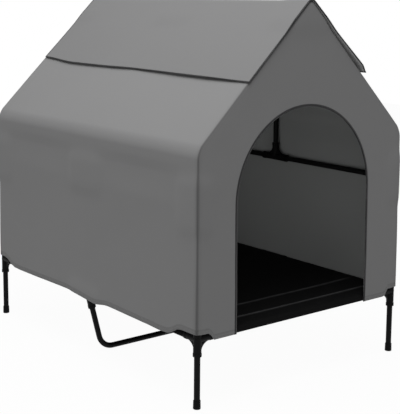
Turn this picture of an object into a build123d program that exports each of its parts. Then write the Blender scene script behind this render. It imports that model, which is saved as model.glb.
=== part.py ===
"""Elevated dog bed with a house-shaped canopy.

A sling bed on a knock-down tube frame, with a fabric canopy on its own tube frame above it.
Units are millimetres. +Z is up, the doorway faces -Y, and the origin is on the floor under the
middle of the bed. Places are worked out from the axes of the tubes.
"""

from build123d import *
import os
from math import atan2, cos, radians, sin, tan

# Frame
frame_width = 722.0
frame_length = 1010.0
rail_height = 184.0
beam_rise = 334.0
eave_rise = 138.5
roof_rise = 354.5
eave_bend_radius = 45.0

# Tubes
tube_diameter = 16.0
tube_wall = 1.0

# Moulded connectors
socket_clearance = 0.3
socket_wall = 2.4
socket_length = 46.0
socket_stop = 12.0
tee_arm_length = 54.0
collar_wall = 0.8
collar_length = 8.0
hub_proud = 0.4
web_thickness = 7.0
web_sink = 1.0
seat_gap = 0.3

# Foot caps
cap_height = 22.0
cap_wall = 1.4
cap_floor = 3.0
cap_flare = 0.5
cap_edge_radius = 1.5
cap_clearance = 0.05

# Centre leg
centre_leg_lean = 14.5
centre_leg_bend_radius = 48.0
centre_leg_ground_gap = 3.5

# Sling bed
sling_thickness = 1.5
sleeve_clearance = 0.3
sling_end_gap = 3.0
crease_distances = [54.0, 144.0]
crease_width = 12.0
crease_rise = 2.0

# Canopy cover
cover_thickness = 1.2
cover_clearance = 0.4
hem_drop = 8.5
notch_height = 28.0
notch_along_side = 110.0
notch_along_end = 48.0
doorway_width = 488.0
doorway_jamb_height = 334.5
binding_width = 6.0
binding_thickness = 2.4

# Roof vents
vent_length = 620.0
vent_width = 130.0
vent_drop = 150.0
mesh_thickness = 0.8

# Rain flap
flap_drop = 285.0
flap_thickness = 1.2
flap_gap = 1.0
flap_overhang = 1.5
ridge_band_drop = 20.0
hinge_gap = 0.6
right_flap_stand = 14.0

# Sizes that follow from the driving dimensions
tube_radius = tube_diameter / 2
half_width = frame_width / 2
half_length = frame_length / 2
beam_height = rail_height + beam_rise
eave_height = beam_height + eave_rise
ridge_height = eave_height + roof_rise
hem_height = rail_height - hem_drop
doorway_spring_height = hem_height + doorway_jamb_height
bore_radius = tube_radius + socket_clearance
socket_radius = bore_radius + socket_wall
collar_radius = socket_radius + collar_wall
cover_inner = collar_radius + cover_clearance
cover_outer = cover_inner + cover_thickness
roof_angle = atan2(ridge_height - eave_height, half_width)
eave_turn = radians(90) - roof_angle
right = Vector(1, 0, 0)
front = Vector(0, -1, 0)
rear = Vector(0, 1, 0)
up = Vector(0, 0, 1)
down = Vector(0, 0, -1)

side_names = {"left": -1, "right": 1}
end_names = {"front": -1, "rear": 1}


def save(part, label):
    """Labels one finished piece and writes it."""
    part.label = label
    export_step(part, f"parts/{label}.step")


def house_outline(offset, bottom):
    """The closed house-shaped line at one offset outside the tube axes."""
    wall = half_width + offset
    eave = eave_height + offset * tan(eave_turn / 2)
    ridge = ridge_height + offset / cos(roof_angle)
    corners = [(-wall, bottom), (-wall, eave), (0, ridge), (wall, eave), (wall, bottom)]
    bend = eave_bend_radius + offset
    FilletPolyline(*corners, radius=[bend, offset, bend])
    Line((wall, bottom), (-wall, bottom))


def slope_point(side, along, offset):
    """The point on one roof slope, measured down from the ridge axis and out from the tube axes."""
    x = side * (along * cos(roof_angle) + offset * sin(roof_angle))
    z = ridge_height - along * sin(roof_angle) + offset * cos(roof_angle)
    return Vector(x, 0, z)


def ridge_line(drop, offset):
    """Three points over the ridge, from one slope to the other, at one offset outside the tube axes."""
    low_left = slope_point(-1, drop, offset)
    low_right = slope_point(1, drop, offset)
    top = (0, ridge_height + offset / cos(roof_angle))
    return [(low_left.X, low_left.Z), top, (low_right.X, low_right.Z)]


def straight_tube(start, end):
    """One straight round tube between two points."""
    run = end - start
    with BuildPart() as tube:
        with BuildSketch(Plane(origin=start, z_dir=run)):
            Circle(tube_radius)
            Circle(tube_radius - tube_wall, mode=Mode.SUBTRACT)
        extrude(amount=run.length)
    return tube.part


def bent_tube(plane, corners, radius):
    """One tube bent at each corner of a route that lies in one plane."""
    with BuildPart() as tube:
        with BuildLine(plane) as route:
            FilletPolyline(*corners, radius=radius)
        with BuildSketch(Plane(origin=route.wire() @ 0, z_dir=route.wire() % 0)):
            Circle(tube_radius)
            Circle(tube_radius - tube_wall, mode=Mode.SUBTRACT)
        sweep(path=route.wire())
    return tube.part


def connector(centre, arms, webs):
    """A moulded connector. Each arm is a direction and a length, and each web joins two arms."""
    with BuildPart() as moulding:
        with Locations(centre):
            Sphere(socket_radius + hub_proud)
        for direction, length in arms:
            with BuildSketch(Plane(origin=centre, z_dir=direction)):
                Circle(socket_radius)
            extrude(amount=length)
            with BuildSketch(Plane(origin=centre + direction * (length - collar_length), z_dir=direction)):
                Circle(collar_radius)
            extrude(amount=collar_length)
        for first, second, reach in webs:
            with BuildSketch(Plane(origin=centre, x_dir=first, z_dir=first.cross(second))):
                with BuildLine():
                    web_outline(radians(first.get_angle(second)), reach)
                make_face()
            extrude(amount=web_thickness / 2, both=True)
        for direction, length in arms:
            with BuildSketch(Plane(origin=centre + direction * socket_stop, z_dir=direction)):
                Circle(bore_radius)
            extrude(amount=length, mode=Mode.SUBTRACT)
    return moulding.part


def web_outline(angle, reach):
    """The web between two arms at an angle, with its free edge a hollow curve between the sockets."""
    skin = socket_radius - web_sink
    along = Vector(1, 0)
    across = Vector(cos(angle), sin(angle))
    first_end = along * reach + Vector(0, skin)
    second_end = across * reach + Vector(sin(angle), -cos(angle)) * skin
    TangentArc(first_end, second_end, tangent=along * -1)
    Polyline(second_end, across * reach, (0, 0), along * reach, first_end)


def corner_notches(hem_length, cut_length, mode):
    """The two diagonal cuts at the ends of one hem, drawn on the hem's own plane."""
    for side in (-1, 1):
        corner = side * hem_length / 2
        inner = corner - side * cut_length
        Polygon(
            (inner, hem_height),
            (corner, hem_height),
            (corner, hem_height + notch_height),
            align=None,
            mode=mode,
        )


def creased_line(height):
    """One face of the sling along its length, lifted where the fold creases cross it."""
    points = [(-half_length, height)]
    for distance in crease_distances:
        middle = distance - half_length
        points.append((middle - crease_width / 2, height))
        points.append((middle, height + crease_rise))
        points.append((middle + crease_width / 2, height))
    points.append((half_length, height))
    return points


def doorway(radius, mode):
    """The arched doorway's outline, open at the hem."""
    with Locations((0, hem_height + doorway_jamb_height / 2)):
        Rectangle(2 * radius, doorway_jamb_height, mode=mode)
    with Locations((0, doorway_spring_height)):
        Circle(radius, mode=mode)


os.makedirs("parts", exist_ok=True)

# Legs and their foot caps
leg_foot = cap_floor
leg_top = rail_height - socket_stop - seat_gap
cap_bore = tube_radius + cap_clearance
for end, end_sign in end_names.items():
    for side, side_sign in side_names.items():
        x = side_sign * half_width
        y = end_sign * half_length
        save(straight_tube(Vector(x, y, leg_foot), Vector(x, y, leg_top)), f"leg_{end}_{side}")

        with BuildPart() as foot_cap:
            with BuildSketch(Plane.XY):
                with Locations((x, y)):
                    Circle(cap_bore + cap_wall + cap_flare)
            with BuildSketch(Plane.XY.offset(cap_height)):
                with Locations((x, y)):
                    Circle(cap_bore + cap_wall)
            loft()
            fillet(foot_cap.edges().group_by(Axis.Z)[0], cap_edge_radius)
            with BuildSketch(Plane.XY.offset(cap_floor)):
                with Locations((x, y)):
                    Circle(cap_bore)
            extrude(amount=cap_height, mode=Mode.SUBTRACT)
        save(foot_cap.part, f"foot_cap_{end}_{side}")

# Bed corner connectors
web_reach = socket_length - collar_length
for end, end_sign in end_names.items():
    for side, side_sign in side_names.items():
        centre = Vector(side_sign * half_width, end_sign * half_length, rail_height)
        inward = right * -side_sign
        along = rear * -end_sign
        arms = [(down, socket_length), (up, socket_length), (inward, socket_length), (along, socket_length)]
        webs = [(down, inward, web_reach), (down, along, web_reach)]
        save(connector(centre, arms, webs), f"bed_corner_{end}_{side}")

# Bed rails
rail_reach = half_width - socket_stop - seat_gap
side_rail_outer = half_length - socket_stop - seat_gap
side_rail_inner = socket_stop + seat_gap
for end, end_sign in end_names.items():
    y = end_sign * half_length
    left_end = Vector(-rail_reach, y, rail_height)
    right_end = Vector(rail_reach, y, rail_height)
    save(straight_tube(left_end, right_end), f"{end}_rail")
    for side, side_sign in side_names.items():
        x = side_sign * half_width
        outer_end = Vector(x, end_sign * side_rail_outer, rail_height)
        inner_end = Vector(x, end_sign * side_rail_inner, rail_height)
        save(straight_tube(inner_end, outer_end), f"side_rail_{end}_{side}")

# Centre leg and the two tees that hold it
lean = radians(centre_leg_lean)
centre_leg_height = centre_leg_ground_gap + tube_radius
centre_leg_corner = half_width - (rail_height - centre_leg_height) * tan(lean)
for side, side_sign in side_names.items():
    centre = Vector(side_sign * half_width, 0, rail_height)
    stem = Vector(-side_sign * sin(lean), 0, -cos(lean))
    arms = [(front, tee_arm_length), (rear, tee_arm_length), (stem, socket_length)]
    webs = [(stem, front, web_reach), (stem, rear, web_reach)]
    save(connector(centre, arms, webs), f"bed_tee_{side}")

leg_seat = socket_stop + seat_gap
leg_seat_x = half_width - leg_seat * sin(lean)
leg_seat_z = rail_height - leg_seat * cos(lean)
centre_leg_route = [
    (-leg_seat_x, leg_seat_z),
    (-centre_leg_corner, centre_leg_height),
    (centre_leg_corner, centre_leg_height),
    (leg_seat_x, leg_seat_z),
]
save(bent_tube(Plane.XZ, centre_leg_route, centre_leg_bend_radius), "centre_leg")

# Sling bed with a sleeve round each rail
sleeve_inner = tube_radius + sleeve_clearance
sleeve_outer = sleeve_inner + sling_thickness
corner_cut = socket_length + sling_end_gap
tee_cut = tee_arm_length + sling_end_gap
tee_cut_depth = collar_radius + sling_end_gap
with BuildPart() as sling:
    with BuildSketch(Plane.YZ):
        with BuildLine():
            sling_top = creased_line(rail_height + sleeve_outer)
            sling_underside = creased_line(rail_height + sleeve_inner)
            Polyline(*(sling_top + sling_underside[::-1]), close=True)
        make_face()
    extrude(amount=half_width, both=True)
    with BuildSketch(Plane.XY.offset(rail_height)):
        with GridLocations(frame_width - corner_cut, frame_length - corner_cut, 2, 2):
            Rectangle(corner_cut, corner_cut)
        with GridLocations(frame_width - tee_cut_depth, 0, 2, 1):
            Rectangle(tee_cut_depth, 2 * tee_cut)
    extrude(amount=2 * sleeve_outer, mode=Mode.SUBTRACT)
    for end_sign in end_names.values():
        sleeve_start = Vector(corner_cut - half_width, end_sign * half_length, rail_height)
        with BuildSketch(Plane(origin=sleeve_start, z_dir=right)):
            Circle(sleeve_outer)
        extrude(amount=frame_width - 2 * corner_cut)
    for side_sign in side_names.values():
        for end_sign in end_names.values():
            sleeve_start = Vector(side_sign * half_width, end_sign * tee_cut, rail_height)
            with BuildSketch(Plane(origin=sleeve_start, z_dir=rear * end_sign)):
                Circle(sleeve_outer)
            extrude(amount=half_length - corner_cut - tee_cut)
    for end_sign in end_names.values():
        with BuildSketch(Plane(origin=(-half_width, end_sign * half_length, rail_height), z_dir=right)):
            Circle(sleeve_inner)
        extrude(amount=frame_width, mode=Mode.SUBTRACT)
    for side_sign in side_names.values():
        with BuildSketch(Plane(origin=(side_sign * half_width, -half_length, rail_height), z_dir=rear)):
            Circle(sleeve_inner)
        extrude(amount=frame_length, mode=Mode.SUBTRACT)
save(sling.part, "bed_sling")

# Canopy uprights and the connectors on top of them
upright_foot = rail_height + socket_stop + seat_gap
upright_top = beam_height - socket_stop - seat_gap
beam_outer = half_length - socket_stop - seat_gap
beam_inner = socket_stop + seat_gap
for end, end_sign in end_names.items():
    for side, side_sign in side_names.items():
        x = side_sign * half_width
        y = end_sign * half_length
        save(straight_tube(Vector(x, y, upright_foot), Vector(x, y, upright_top)), f"upright_{end}_{side}")

        along = rear * -end_sign
        arms = [(down, socket_length), (up, socket_length), (along, socket_length)]
        webs = [(up, along, web_reach)]
        save(connector(Vector(x, y, beam_height), arms, webs), f"beam_corner_{end}_{side}")

        inner_end = Vector(x, end_sign * beam_inner, beam_height)
        outer_end = Vector(x, end_sign * beam_outer, beam_height)
        save(straight_tube(inner_end, outer_end), f"side_beam_{end}_{side}")

for side, side_sign in side_names.items():
    centre = Vector(side_sign * half_width, 0, beam_height)
    arms = [(front, tee_arm_length), (rear, tee_arm_length), (up, socket_length)]
    webs = [(up, front, web_reach), (up, rear, web_reach)]
    save(connector(centre, arms, webs), f"beam_tee_{side}")

# Roof hoops, each half bent at the eave
hoop_places = {"front": -half_length, "middle": 0.0, "rear": half_length}
hoop_foot = beam_height + socket_stop + seat_gap
hoop_top = slope_point(1, socket_stop + seat_gap, 0)
for place, y in hoop_places.items():
    for side, side_sign in side_names.items():
        x = side_sign * half_width
        route = [(x, hoop_foot), (x, eave_height), (side_sign * hoop_top.X, hoop_top.Z)]
        save(bent_tube(Plane.XZ.offset(-y), route, eave_bend_radius), f"hoop_{place}_{side}")

# Ridge connectors and the two ridge poles
slope_left = Vector(-cos(roof_angle), 0, -sin(roof_angle))
slope_right = Vector(cos(roof_angle), 0, -sin(roof_angle))
ridge_arms = {"front": [rear], "middle": [front, rear], "rear": [front]}
for place, y in hoop_places.items():
    arms = [(slope_left, socket_length), (slope_right, socket_length)]
    for direction in ridge_arms[place]:
        arms.append((direction, socket_length))
    webs = [(slope_left, slope_right, web_reach)]
    save(connector(Vector(0, y, ridge_height), arms, webs), f"ridge_connector_{place}")

for end, end_sign in end_names.items():
    inner_end = Vector(0, end_sign * beam_inner, ridge_height)
    outer_end = Vector(0, end_sign * beam_outer, ridge_height)
    save(straight_tube(inner_end, outer_end), f"ridge_pole_{end}")

# Canopy cover, one half over each side wall and roof slope
cover_half_length = half_length + cover_inner
vent_size = (vent_length, vent_width)
for side, side_sign in side_names.items():
    vent_centre = slope_point(side_sign, vent_drop, cover_inner)
    slope_normal = Vector(side_sign * sin(roof_angle), 0, cos(roof_angle))
    vent_plane = Plane(origin=vent_centre, x_dir=rear, z_dir=slope_normal)
    with BuildPart() as cover_half:
        with BuildSketch(Plane.XZ):
            with BuildLine():
                house_outline(cover_outer, hem_height)
            make_face()
            with BuildLine():
                house_outline(cover_inner, hem_height)
            make_face(mode=Mode.SUBTRACT)
            with Locations((-side_sign * frame_width, ridge_height / 2)):
                Rectangle(2 * frame_width, 2 * ridge_height, mode=Mode.SUBTRACT)
        extrude(amount=cover_half_length, both=True)
        with BuildSketch(Plane.YZ):
            corner_notches(2 * cover_half_length, notch_along_side, Mode.ADD)
        extrude(amount=frame_width, both=True, mode=Mode.SUBTRACT)
        with BuildSketch(vent_plane):
            Rectangle(*vent_size)
        extrude(amount=2 * cover_thickness, both=True, mode=Mode.SUBTRACT)
    save(cover_half.part, f"cover_{side}")

    with BuildPart() as vent:
        with BuildSketch(vent_plane):
            Rectangle(*vent_size)
        extrude(amount=mesh_thickness)
    save(vent.part, f"roof_vent_{side}")

# Gable panels, the front one with the arched doorway
gable_width = frame_width + 2 * cover_outer
doorway_radius = doorway_width / 2
for end, end_sign in end_names.items():
    inner_face = end_sign * cover_half_length
    with BuildPart() as gable:
        with BuildSketch(Plane.XZ.offset(-inner_face)):
            with BuildLine():
                house_outline(cover_outer, hem_height)
            make_face()
            corner_notches(gable_width, notch_along_end, Mode.SUBTRACT)
            if end == "front":
                doorway(doorway_radius, Mode.SUBTRACT)
        extrude(amount=-end_sign * cover_thickness)
    save(gable.part, f"cover_{end}")

binding_face = -(cover_half_length + cover_thickness / 2 - binding_thickness / 2)
with BuildPart() as doorway_binding:
    with BuildSketch(Plane.XZ.offset(-binding_face)):
        doorway(doorway_radius, Mode.ADD)
        doorway(doorway_radius - binding_width, Mode.SUBTRACT)
        with Locations((0, hem_height - binding_width)):
            Rectangle(doorway_width, 2 * binding_width, mode=Mode.SUBTRACT)
    extrude(amount=binding_thickness)
save(doorway_binding.part, "doorway_binding")

# Rain flap, in a sewn ridge band and two hanging halves
flap_inner = cover_outer + flap_gap
flap_outer = flap_inner + flap_thickness
flap_half_length = cover_half_length + cover_thickness + flap_overhang
band_inner = cover_outer + seat_gap
with BuildPart() as ridge_band:
    with BuildSketch(Plane.XZ):
        with BuildLine():
            outside = ridge_line(ridge_band_drop, flap_outer)
            inside = ridge_line(ridge_band_drop, band_inner)
            FilletPolyline(*outside, radius=flap_outer)
            FilletPolyline(*inside, radius=band_inner)
            Line(outside[0], inside[0])
            Line(outside[-1], inside[-1])
        make_face()
    extrude(amount=flap_half_length, both=True)
save(ridge_band.part, "rain_flap_ridge")

flap_top = ridge_band_drop + hinge_gap
stands = {"left": 0.0, "right": right_flap_stand}
for side, side_sign in side_names.items():
    stations = [(flap_top, 0.0), (flap_drop, stands[side])]
    upper = [slope_point(side_sign, along, flap_outer + lift) for along, lift in stations]
    lower = [slope_point(side_sign, along, flap_inner + lift) for along, lift in stations]
    outline = [(point.X, point.Z) for point in upper + lower[::-1]]
    with BuildPart() as flap:
        with BuildSketch(Plane.XZ):
            with BuildLine():
                Polyline(*outline, close=True)
            make_face()
        extrude(amount=flap_half_length, both=True)
    save(flap.part, f"rain_flap_{side}")
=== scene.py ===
"""Cloth, finishes and stage for an elevated dog bed with a canopy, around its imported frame."""

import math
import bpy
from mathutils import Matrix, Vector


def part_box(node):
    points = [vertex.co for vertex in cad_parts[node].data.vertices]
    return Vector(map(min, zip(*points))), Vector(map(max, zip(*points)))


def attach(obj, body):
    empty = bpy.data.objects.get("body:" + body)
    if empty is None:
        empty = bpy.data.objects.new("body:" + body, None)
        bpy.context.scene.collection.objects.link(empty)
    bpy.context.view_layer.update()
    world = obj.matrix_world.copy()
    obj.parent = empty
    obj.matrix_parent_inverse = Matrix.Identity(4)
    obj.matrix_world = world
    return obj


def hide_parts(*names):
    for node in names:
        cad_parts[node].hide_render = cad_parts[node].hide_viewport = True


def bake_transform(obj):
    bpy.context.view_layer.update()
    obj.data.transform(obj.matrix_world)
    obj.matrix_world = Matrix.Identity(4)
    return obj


bl_info = {
    "name": "Canopy Dog Bed",
    "version": (1, 0, 0),
    "blender": (4, 5, 0),
    "location": "View3D > Sidebar > Dog Bed",
    "description": "Builds the cloth, the finishes and the stage of a dog bed with a canopy",
    "category": "Object",
}

import bmesh
import bpy
from bpy.props import FloatProperty, FloatVectorProperty, PointerProperty
from mathutils import Matrix, Vector, noise

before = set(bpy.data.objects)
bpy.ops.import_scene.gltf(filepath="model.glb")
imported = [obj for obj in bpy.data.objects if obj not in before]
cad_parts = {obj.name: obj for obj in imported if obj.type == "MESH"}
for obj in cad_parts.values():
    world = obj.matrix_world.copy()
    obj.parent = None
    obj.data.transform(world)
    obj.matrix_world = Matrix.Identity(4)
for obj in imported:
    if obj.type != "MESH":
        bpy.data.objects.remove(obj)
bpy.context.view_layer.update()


def middle(node):
    """The middle of a node's box."""
    low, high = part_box(node)
    return (Vector(low) + Vector(high)) / 2


HALF_WIDTH = abs(middle("upright_front_left").x)
HALF_LENGTH = abs(middle("upright_front_left").y)
RAIL_HEIGHT = middle("front_rail").z
BEAM_HEIGHT = middle("side_beam_front_left").z
RIDGE_HEIGHT = middle("ridge_pole_front").z
HEM_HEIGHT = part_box("cover_left")[0][2]
DOOR_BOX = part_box("doorway_binding")
DOOR_RADIUS = (DOOR_BOX[1][0] - DOOR_BOX[0][0]) / 2
DOOR_SPRING = DOOR_BOX[1][2] - DOOR_RADIUS
FLAP_HALF_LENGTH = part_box("rain_flap_left")[1][1]

CONNECTOR_KINDS = ("bed_corner", "bed_tee", "beam_corner", "beam_tee", "ridge_connector")
CONNECTOR_BOXES = [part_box(name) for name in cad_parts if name.startswith(CONNECTOR_KINDS)]
TEE_BOXES = [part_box("bed_tee_left"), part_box("bed_tee_right")]

NEAR = 1e-5
SIDES = ((-1, "left"), (1, "right"))


class DogBedSizes(bpy.types.PropertyGroup):
    """Sizes of the cloth."""

    eave_height: FloatProperty(
        name="Eave Height", description="Height where the lines of wall and roof meet", default=0.6565,
        unit="LENGTH")
    eave_radius: FloatProperty(
        name="Eave Bend", description="Radius of the hoops' bend at the eave", default=0.045, unit="LENGTH")
    skin: FloatProperty(
        name="Cloth Offset", description="Distance from the tubes' axes to the cloth", default=0.0095,
        unit="LENGTH")
    connector_lift: FloatProperty(
        name="Connector Lift", description="How far a connector pushes the cloth out", default=0.0031,
        unit="LENGTH")
    cloth_thickness: FloatProperty(
        name="Cloth Thickness", description="Thickness of the canopy's cloth", default=0.0011, unit="LENGTH")
    sling_thickness: FloatProperty(
        name="Sling Thickness", description="Thickness of the bed's cloth", default=0.0015, unit="LENGTH")
    flap_drop: FloatProperty(
        name="Flap Drop", description="How far the rain flap comes down each slope", default=0.279,
        unit="LENGTH")
    flap_stand: FloatProperty(
        name="Flap Stand", description="How far the right half stands off at its front corner",
        default=0.0145, unit="LENGTH")


class DogBedColours(bpy.types.PropertyGroup):
    """Colours of the finishes."""

    cloth: FloatVectorProperty(
        name="Canopy Cloth", description="Colour of the canopy's cloth", subtype="COLOR", size=3,
        min=0.0, max=1.0, default=(0.206, 0.206, 0.207))
    # Painted light: the inner face is given a lighter grey than the outer cloth, so the shaded inside reads
    # lighter, standing in for light coming through the cloth.
    inside_cloth_painted_light: FloatVectorProperty(
        name="Canopy Inside", description="Colour of the coated inner face", subtype="COLOR", size=3,
        min=0.0, max=1.0, default=(0.330, 0.337, 0.333))
    # Painted light: a pale underside, so the shaded gap under the flap reads light grey.
    flap_underside_painted_light: FloatVectorProperty(
        name="Flap Inside", description="Colour of the flap's silver-coated underside", subtype="COLOR",
        size=3, min=0.0, max=1.0, default=(0.560, 0.562, 0.560))
    tape: FloatVectorProperty(
        name="Binding Tape", description="Colour of the binding tape", subtype="COLOR", size=3,
        min=0.0, max=1.0, default=(0.020, 0.020, 0.021))
    sling: FloatVectorProperty(
        name="Sling Cloth", description="Colour of the bed's cloth", subtype="COLOR", size=3,
        min=0.0, max=1.0, default=(0.0070, 0.0070, 0.0072))
    tube: FloatVectorProperty(
        name="Powder Coat", description="Colour of the coated tubes", subtype="COLOR", size=3,
        min=0.0, max=1.0, default=(0.0055, 0.0055, 0.0058))
    plastic: FloatVectorProperty(
        name="Moulded Plastic", description="Colour of the connectors and caps", subtype="COLOR", size=3,
        min=0.0, max=1.0, default=(0.0040, 0.0040, 0.0043))


# Shader helpers


def add_node(tree, kind, **settings):
    """One node with its settings."""
    node = tree.nodes.new(kind)
    for name, value in settings.items():
        setattr(node, name, value)
    return node


def feed(tree, source, target):
    """Joins a socket, or sets a plain value."""
    if isinstance(source, bpy.types.NodeSocket):
        tree.links.new(source, target)
    else:
        target.default_value = source


def maths(tree, operation, *values, clamp=False):
    """A Math node, fed from sockets or numbers."""
    node = add_node(tree, "ShaderNodeMath", operation=operation, use_clamp=clamp)
    for index, value in enumerate(values):
        feed(tree, value, node.inputs[index])
    return node.outputs[0]


def mixed(tree, factor, first, second):
    """A colour Mix node, fed from sockets or colours."""
    node = add_node(tree, "ShaderNodeMix", data_type="RGBA")
    feed(tree, factor, node.inputs[0])
    for colour, index in ((first, 6), (second, 7)):
        feed(tree, (*colour, 1.0) if isinstance(colour, tuple) else colour, node.inputs[index])
    return node.outputs[2]


def scaled(colour, factor):
    """A colour made darker or lighter, up to white."""
    return tuple(min(1.0, channel * factor) for channel in colour)


def noise_value(tree, vector, scale, detail=3.0, roughness=0.5):
    """A Noise texture's factor."""
    node = add_node(tree, "ShaderNodeTexNoise")
    feed(tree, vector, node.inputs["Vector"])
    feed(tree, scale, node.inputs["Scale"])
    node.inputs["Detail"].default_value = detail
    node.inputs["Roughness"].default_value = roughness
    return node.outputs["Fac"]


def new_group(name, inputs, outputs):
    """A shader node group with its sockets, returned with its two end nodes."""
    group = bpy.data.node_groups.new(name, "ShaderNodeTree")
    for label, kind, default in inputs:
        socket = group.interface.new_socket(label, in_out="INPUT", socket_type=kind)
        if default is not None:
            socket.default_value = default
    for label, kind in outputs:
        group.interface.new_socket(label, in_out="OUTPUT", socket_type=kind)
    return group, group.nodes.new("NodeGroupInput"), group.nodes.new("NodeGroupOutput")


STREAK_SCALES = ((60.0, 900.0, 1.0), (900.0, 60.0, 1.0))
# How much painted shade the threads' relief gives the colour.
THREAD_SHADE = 0.15
MEAN_SHADE = 0.42


def make_weave_group():
    """Plain weave: over and under threads along a flat map, with slubs along both directions."""
    group, inside, outside = new_group(
        "Woven Cloth",
        [("Vector", "NodeSocketVector", None), ("Threads", "NodeSocketFloat", 900.0),
         ("Slub", "NodeSocketFloat", 0.5)],
        [("Shade", "NodeSocketFloat"), ("Height", "NodeSocketFloat")])
    split = add_node(group, "ShaderNodeSeparateXYZ")
    group.links.new(inside.outputs["Vector"], split.inputs[0])
    waves = []
    for axis in (0, 1):
        turns = maths(group, "MULTIPLY", split.outputs[axis], inside.outputs["Threads"])
        waves.append(maths(group, "SINE", maths(group, "MULTIPLY", turns, math.pi)))
    weave = maths(group, "MULTIPLY", waves[0], waves[1])
    height = maths(group, "ADD", maths(group, "MULTIPLY", weave, 0.5), 0.5)
    streaks = []
    for stretch in STREAK_SCALES:
        mapping = add_node(group, "ShaderNodeMapping")
        mapping.inputs["Scale"].default_value = stretch
        group.links.new(inside.outputs["Vector"], mapping.inputs["Vector"])
        streaks.append(noise_value(group, mapping.outputs[0], 1.0, 2.0))
    slub = maths(group, "MULTIPLY", maths(group, "ADD", streaks[0], streaks[1]), 0.5)
    shade = maths(group, "MULTIPLY", maths(group, "SUBTRACT", slub, 0.5), inside.outputs["Slub"])
    # The colour's shade: darker where the weave is low, which is painted shade between the threads, plus the
    # slubs' random tone.
    shade = maths(group, "ADD", maths(group, "MULTIPLY", height, THREAD_SHADE), shade)
    group.links.new(maths(group, "ADD", shade, MEAN_SHADE, clamp=True), outside.inputs["Shade"])
    group.links.new(height, outside.inputs["Height"])


STITCH_SHARE = 0.68


def make_stitch_group():
    """A row of stitches at a set distance from an edge: its mask."""
    group, inside, outside = new_group(
        "Stitch Row",
        [("Along", "NodeSocketFloat", 0.0), ("Away", "NodeSocketFloat", 0.0),
         ("Distance", "NodeSocketFloat", 0.01), ("Pitch", "NodeSocketFloat", 0.004),
         ("Width", "NodeSocketFloat", 0.0008)],
        [("Mask", "NodeSocketFloat")])
    away = maths(group, "SUBTRACT", inside.outputs["Away"], inside.outputs["Distance"])
    near = maths(group, "LESS_THAN", maths(group, "ABSOLUTE", away), inside.outputs["Width"])
    turn = maths(group, "FRACT", maths(group, "DIVIDE", inside.outputs["Along"], inside.outputs["Pitch"]))
    stitch = maths(group, "LESS_THAN", turn, STITCH_SHARE)
    group.links.new(maths(group, "MULTIPLY", near, stitch), outside.inputs["Mask"])


SCUFF_START = 0.45
SCUFF_CONTRAST = 3.0


def make_grain_group():
    """Fine moulded or sprayed grain with broad scuffs."""
    group, inside, outside = new_group(
        "Surface Grain",
        [("Vector", "NodeSocketVector", None), ("Grain", "NodeSocketFloat", 900.0),
         ("Scuff", "NodeSocketFloat", 25.0)],
        [("Height", "NodeSocketFloat"), ("Scuffs", "NodeSocketFloat")])
    fine = noise_value(group, inside.outputs["Vector"], inside.outputs["Grain"], 2.0, 0.6)
    broad = noise_value(group, inside.outputs["Vector"], inside.outputs["Scuff"], 5.0, 0.65)
    spread = maths(group, "MULTIPLY", maths(group, "SUBTRACT", broad, SCUFF_START), SCUFF_CONTRAST,
                   clamp=True)
    group.links.new(fine, outside.inputs["Height"])
    group.links.new(spread, outside.inputs["Scuffs"])


def place_group(tree, group, **values):
    """A group node with its inputs fed from sockets or numbers."""
    node = add_node(tree, "ShaderNodeGroup", node_tree=group)
    for label, value in values.items():
        feed(tree, value, node.inputs[label])
    return node


def new_material(name, roughness, specular, sheen=0.0):
    """A material with its shader, and its tree."""
    material = bpy.data.materials.new(name)
    if material.name != name:
        raise RuntimeError(f"there is already a material named {name}")
    material.use_nodes = True
    tree = material.node_tree
    shader = tree.nodes["Principled BSDF"]
    shader.inputs["Roughness"].default_value = roughness
    shader.inputs["Specular IOR Level"].default_value = specular
    shader.inputs["Sheen Weight"].default_value = sheen
    return material, tree, shader


def bump(tree, shader, height, strength, distance):
    """Feeds a height to the shader's normal."""
    node = add_node(tree, "ShaderNodeBump")
    node.inputs["Strength"].default_value = strength
    node.inputs["Distance"].default_value = distance
    feed(tree, height, node.inputs["Height"])
    tree.links.new(node.outputs[0], shader.inputs["Normal"])


CLOUD_SCALE = 3.0
CLOUD_AMOUNT = 0.16
CLOUD_SHADE = 0.72
STITCH_AMOUNT = 0.5
STITCH_SHADE = 0.35
WEAVE_ROUGHNESS = 0.12
WEAVE_BUMP = 0.22
WEAVE_DEPTH = 0.0002


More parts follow.
